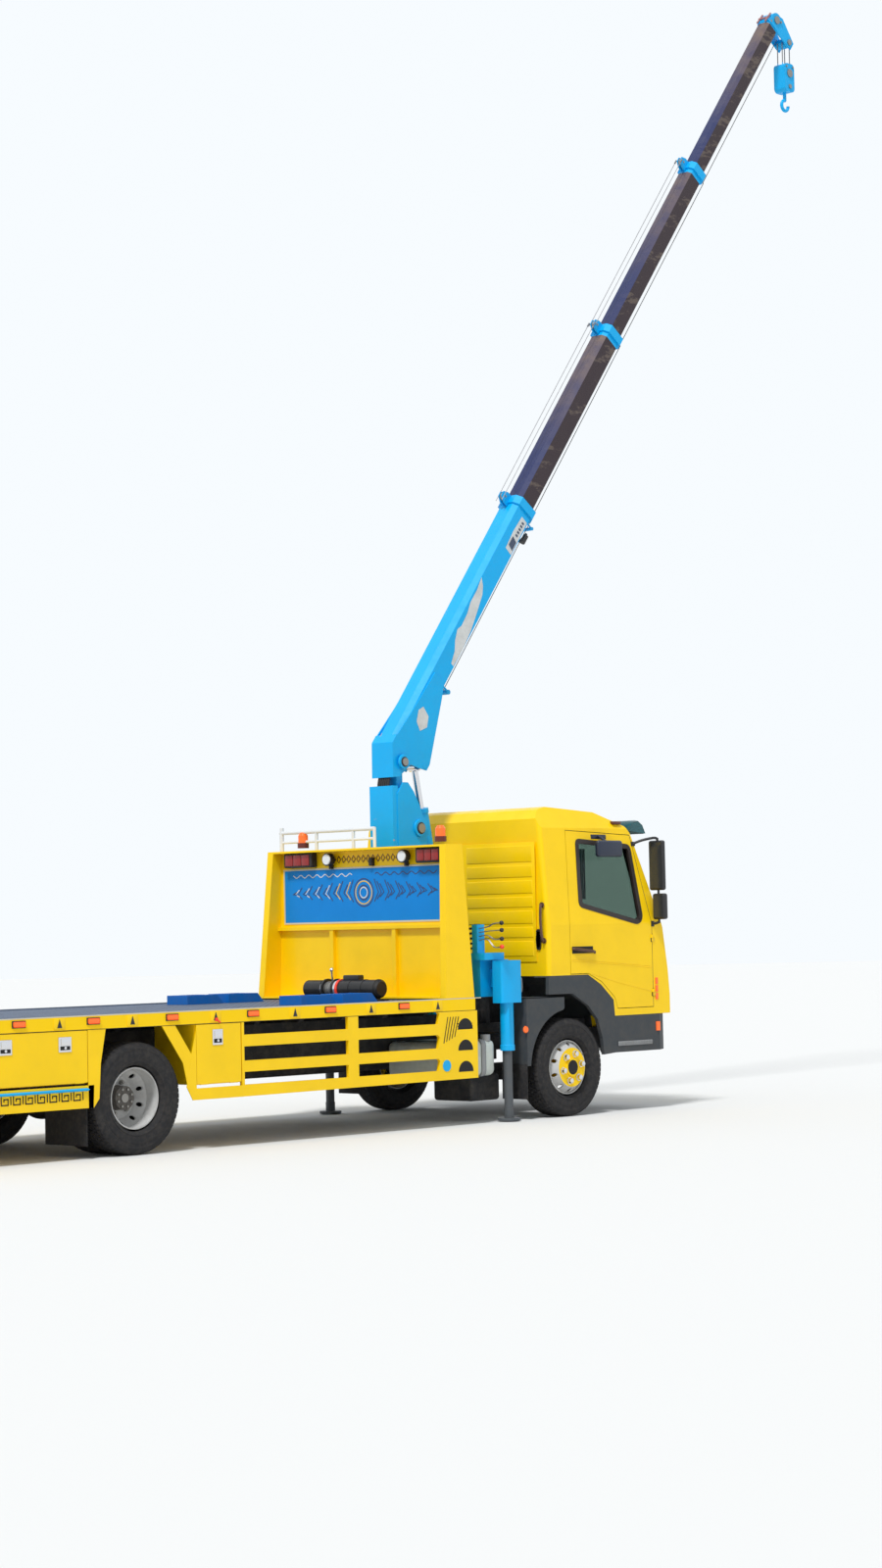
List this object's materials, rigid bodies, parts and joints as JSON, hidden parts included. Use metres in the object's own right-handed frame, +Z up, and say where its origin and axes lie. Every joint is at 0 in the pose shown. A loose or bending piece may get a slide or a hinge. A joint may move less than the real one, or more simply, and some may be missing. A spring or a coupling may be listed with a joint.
{
  "type": "crane truck",
  "caption": "Cab-over flatbed truck with a telescopic loader crane behind the cab, outriggers, headboard, side guards and tool boxes.",
  "frame": {"origin": "on the ground below the middle of the whole truck's length and width", "axes": "+X forward, +Y to the truck's left, +Z up"},
  "size_m": [12.2802, 2.74, 10.807],
  "materials": {
    "yellow_paint": "gloss",
    "blue_paint": "gloss",
    "dark_paint": "satin",
    "deck_paint": "worn satin",
    "boom_inner_paint": "worn satin",
    "tank_paint": "satin",
    "galvanised": "satin",
    "wheel_silver": "satin",
    "tyre": "matt",
    "rubber": "matt",
    "dark_plastic": "matt",
    "glass": "clear",
    "visor_plastic": "smoked",
    "lamp_plastic": "clear",
    "chrome": "polished",
    "seat_fabric": "woven",
    "cast_steel": "rough"
  },
  "bodies": {
    "root": {"frame_rails": "dark_paint", "frame_cross_members": "dark_paint", "deck": "deck_paint", "deck_bearers": "dark_paint", "side_skirts": "yellow_paint", "tool_boxes": "yellow_paint", "headboard": "yellow_paint", "headboard_lamps": "lamp_plastic", "deck_winch": "dark_paint", "wheel_chocks": "deck_paint", "rear_bumper": "dark_paint", "mud_guards": "rubber", "leaf_springs": "dark_paint", "engine_block": "cast_steel", "front_axle": "dark_paint", "rear_axle": "dark_paint", "fuel_tank": "tank_paint", "silencer_and_battery": "dark_paint", "crane_base": "blue_paint", "lever_bank": "blue_paint"},
    "tool_door_body_1": {"tool_door_small_left": "yellow_paint"},
    "tool_door_body_2": {"tool_door_small_right": "yellow_paint"},
    "tool_door_body_3": {"tool_door_rear_left": "yellow_paint"},
    "tool_door_body_4": {"tool_door_rear_right": "yellow_paint"},
    "steered_hub_left": {"knuckle_left": "dark_paint"},
    "steered_hub_right": {"knuckle_right": "dark_paint"},
    "front_wheel_left": {"tyre_front_left": "tyre", "rim_front_left": "wheel_silver"},
    "front_wheel_right": {"tyre_front_right": "tyre", "rim_front_right": "wheel_silver"},
    "rear_wheels_left": {"tyre_rear_left": "tyre", "rim_rear_left": "wheel_silver"},
    "rear_wheels_right": {"tyre_rear_right": "tyre", "rim_rear_right": "wheel_silver"},
    "cab": {"cab_shell": "yellow_paint", "cab_glass": "glass", "cab_interior": "seat_fabric", "cab_bumper": "dark_plastic", "cab_grille": "dark_plastic", "mirrors": "dark_plastic", "sun_visor": "visor_plastic", "cab_lamps": "lamp_plastic"},
    "left_door": {"cab_door_left": "yellow_paint", "door_glass_left": "glass"},
    "right_door": {"cab_door_right": "yellow_paint", "door_glass_right": "glass"},
    "column": {"crane_column": "blue_paint"},
    "winch": {"winch_drum": "dark_paint"},
    "boom_1": {"boom_base": "blue_paint"},
    "boom_2": {"boom_second": "boom_inner_paint"},
    "boom_3": {"boom_third": "boom_inner_paint"},
    "boom_4": {"boom_tip": "boom_inner_paint"},
    "lift_cylinder": {"lift_barrel": "blue_paint"},
    "lift_piston": {"lift_rod": "chrome"},
    "hook_hanger": {"hook_block": "blue_paint"},
    "hook_swivel": {"hook": "cast_steel"},
    "outrigger_left": {"outrigger_beam_left": "blue_paint"},
    "outrigger_right": {"outrigger_beam_right": "blue_paint"},
    "jack_left": {"jack_foot_left": "galvanised"},
    "jack_right": {"jack_foot_right": "galvanised"}
  },
  "joints": [
    {"name": "steering_left", "type": "hinge", "parent": "root", "child": "steered_hub_left", "pos_m": [1.16135, 0.86, 0.421], "axis": [0, 0, 1], "range_deg": [-35, 35]},
    {"name": "steering_right", "type": "hinge", "parent": "root", "child": "steered_hub_right", "pos_m": [1.16135, -0.86, 0.421], "axis": [0, 0, 1], "range_deg": [-35, 35]},
    {"name": "front_wheel_left_spin", "type": "hinge", "parent": "steered_hub_left", "child": "front_wheel_left", "pos_m": [1.16135, 1.03, 0.421], "axis": [0, 1, 0], "continuous": true},
    {"name": "front_wheel_right_spin", "type": "hinge", "parent": "steered_hub_right", "child": "front_wheel_right", "pos_m": [1.16135, -1.03, 0.421], "axis": [0, 1, 0], "continuous": true},
    {"name": "rear_wheels_left_spin", "type": "hinge", "parent": "root", "child": "rear_wheels_left", "pos_m": [-3.65865, 0.894, 0.421], "axis": [0, 1, 0], "continuous": true},
    {"name": "rear_wheels_right_spin", "type": "hinge", "parent": "root", "child": "rear_wheels_right", "pos_m": [-3.65865, -0.894, 0.421], "axis": [0, 1, 0], "continuous": true},
    {"name": "cab_tilt", "type": "hinge", "parent": "root", "child": "cab", "pos_m": [2.41135, 0, 0.62], "axis": [0, 1, 0], "range_deg": [0, 45]},
    {"name": "left_door_swing", "type": "hinge", "parent": "cab", "child": "left_door", "pos_m": [2.27935, 1.152, 1.5], "axis": [0, 0, -1], "range_deg": [0, 70]},
    {"name": "right_door_swing", "type": "hinge", "parent": "cab", "child": "right_door", "pos_m": [2.27935, -1.152, 1.5], "axis": [0, 0, 1], "range_deg": [0, 70]},
    {"name": "small_tool_door_left_drop", "type": "hinge", "parent": "root", "child": "tool_door_body_1", "pos_m": [-2.85865, 1.143, 0.496], "axis": [-1, 0, 0], "range_deg": [0, 90]},
    {"name": "small_tool_door_right_drop", "type": "hinge", "parent": "root", "child": "tool_door_body_2", "pos_m": [-2.85865, -1.143, 0.496], "axis": [1, 0, 0], "range_deg": [0, 90]},
    {"name": "rear_tool_door_left_drop", "type": "hinge", "parent": "root", "child": "tool_door_body_3", "pos_m": [-4.76865, 1.143, 0.566], "axis": [-1, 0, 0], "range_deg": [0, 90]},
    {"name": "rear_tool_door_right_drop", "type": "hinge", "parent": "root", "child": "tool_door_body_4", "pos_m": [-4.76865, -1.143, 0.566], "axis": [1, 0, 0], "range_deg": [0, 90]},
    {"name": "crane_slew", "type": "hinge", "parent": "root", "child": "column", "pos_m": [0.41135, 0, 1.5], "axis": [0, 0, 1], "continuous": true},
    {"name": "winch_spin", "type": "hinge", "parent": "column", "child": "winch", "pos_m": [0.37635, 0, 2.2], "axis": [0, 1, 0], "continuous": true},
    {"name": "boom_lift", "type": "hinge", "parent": "column", "child": "boom_1", "pos_m": [0.21135, 0, 3.075], "axis": [0, -1, 0], "range_deg": [-52, 25]},
    {"name": "boom_second_slide", "type": "slide", "parent": "boom_1", "child": "boom_2", "axis": [0.599, 0, 0.8007], "range_m": [-2.05, 0.02]},
    {"name": "boom_third_slide", "type": "slide", "parent": "boom_2", "child": "boom_3", "axis": [0.599, 0, 0.8007], "range_m": [-2.05, 0.02]},
    {"name": "boom_tip_slide", "type": "slide", "parent": "boom_3", "child": "boom_4", "axis": [0.599, 0, 0.8007], "range_m": [-2.05, 0.02]},
    {"name": "lift_cylinder_swing", "type": "hinge", "parent": "column", "child": "lift_cylinder", "pos_m": [0.74135, 0, 1.8], "axis": [0, -1, 0], "range_deg": [-3.25, 6.22]},
    {"name": "lift_piston_slide", "type": "slide", "parent": "lift_cylinder", "child": "lift_piston", "axis": [-0.1961, 0, 0.9806], "range_m": [-0.2097, 0.106]},
    {"name": "hook_hang", "type": "hinge", "parent": "boom_4", "child": "hook_hanger", "pos_m": [6.06365, 0, 10.54234], "axis": [0, -1, 0], "range_deg": [-26, 53]},
    {"name": "hook_turn", "type": "hinge", "parent": "hook_hanger", "child": "hook_swivel", "pos_m": [6.06365, 0, 10.03735], "axis": [0, 0, 1], "continuous": true},
    {"name": "outrigger_left_out", "type": "slide", "parent": "root", "child": "outrigger_left", "axis": [0, 1, 0], "range_m": [0, 0.5]},
    {"name": "outrigger_right_out", "type": "slide", "parent": "root", "child": "outrigger_right", "axis": [0, -1, 0], "range_m": [0, 0.5]},
    {"name": "jack_left_up", "type": "slide", "parent": "outrigger_left", "child": "jack_left", "axis": [0, 0, 1], "range_m": [0, 0.4]},
    {"name": "jack_right_up", "type": "slide", "parent": "outrigger_right", "child": "jack_right", "axis": [0, 0, 1], "range_m": [0, 0.4]}
  ],
  "couplings": [
    {"joint": "steering_right", "follows": "steering_left", "ratio": 1},
    {"joint": "boom_tip_slide", "follows": "boom_third_slide", "ratio": 1},
    {"joint": "lift_cylinder_swing", "follows": "boom_lift", "ratio": -0.11},
    {"joint": "lift_piston_slide", "follows": "boom_lift", "m_per_rad": 0.22},
    {"joint": "hook_hang", "follows": "boom_lift", "ratio": -1}
  ]
}
